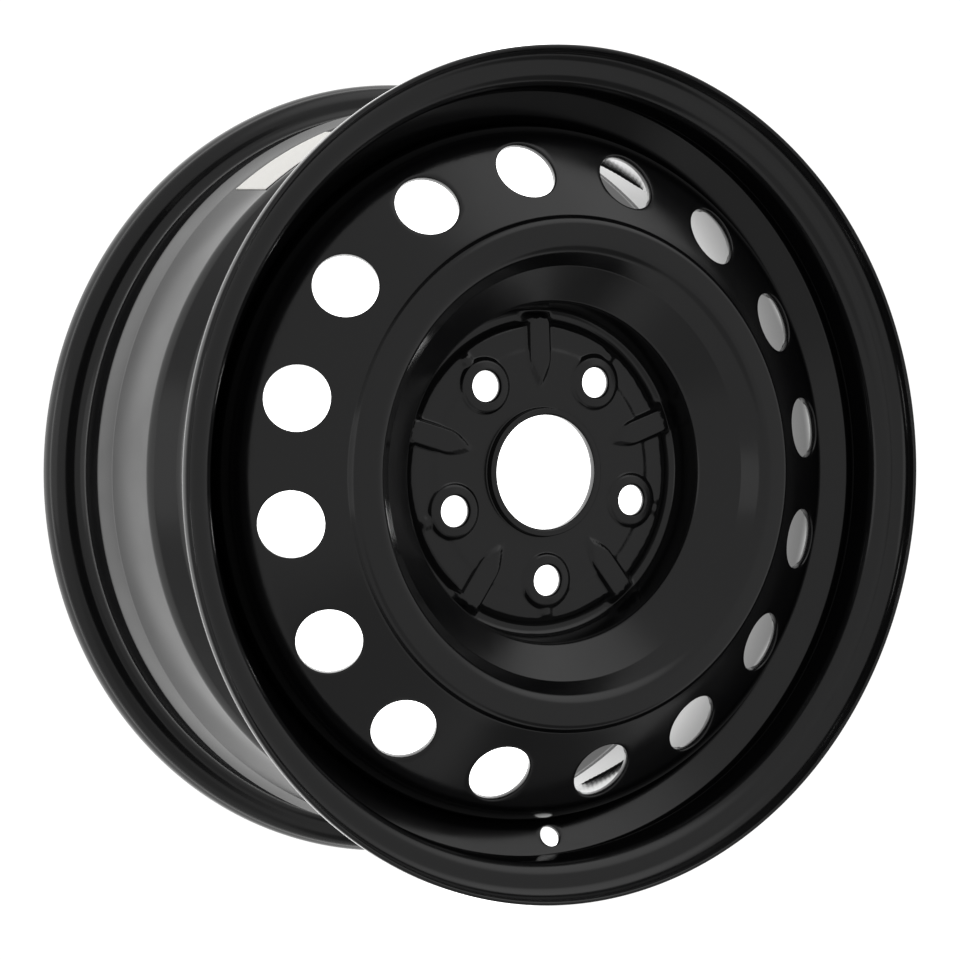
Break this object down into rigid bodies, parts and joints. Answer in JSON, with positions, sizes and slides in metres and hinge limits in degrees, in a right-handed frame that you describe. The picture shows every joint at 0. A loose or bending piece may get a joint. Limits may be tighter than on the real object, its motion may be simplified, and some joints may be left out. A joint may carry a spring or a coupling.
{
  "type": "steel wheel rim",
  "caption": "Black pressed steel road wheel: a rolled drop-centre rim with a ventilated dished disc welded inside, for bolting to a car hub.",
  "frame": {"origin": "centre of the hub mounting face, on the axle", "axes": "+Z along the axle, out of the outboard face; -Y through the valve hole and one lug hole. The wheel lies on its inboard flange with the outboard face up"},
  "size_m": [0.4402, 0.44, 0.191],
  "materials": {
    "rim_enamel": "glossy black dipped enamel on rolled steel",
    "disc_enamel": "glossy black dipped enamel on pressed steel",
    "weld_enamel": "black dipped enamel over weld metal",
    "label_paper": "matt white paper"
  },
  "bodies": {
    "root": {"rim": "rim_enamel", "disc": "disc_enamel", "weld_beads": "weld_enamel", "paper_label": "label_paper"}
  },
  "joints": []
}
